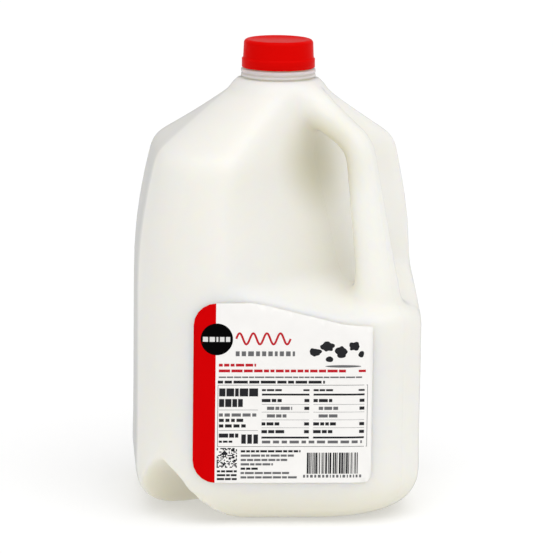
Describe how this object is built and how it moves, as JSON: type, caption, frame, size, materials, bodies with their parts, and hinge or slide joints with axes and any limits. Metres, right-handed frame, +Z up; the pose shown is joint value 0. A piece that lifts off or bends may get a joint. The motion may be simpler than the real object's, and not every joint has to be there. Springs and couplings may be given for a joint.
{
  "type": "milk jug",
  "caption": "Square blow-moulded plastic milk jug, full and shut, with a corner handle, a red screw cap and a printed front label.",
  "frame": {"origin": "middle of the base, at the height it stands on, under the neck", "axes": "+Z up through the neck, -Y out of the labelled wall, the handle in the corner between +X and -Y"},
  "size_m": [0.153, 0.1533, 0.2509],
  "materials": {
    "milk_white": "satin, milky, slightly translucent",
    "cap_red": "moulded, half gloss",
    "label_print": "printed film"
  },
  "bodies": {
    "root": {"jug": "milk_white", "cap": "cap_red", "label": "label_print"}
  },
  "joints": []
}
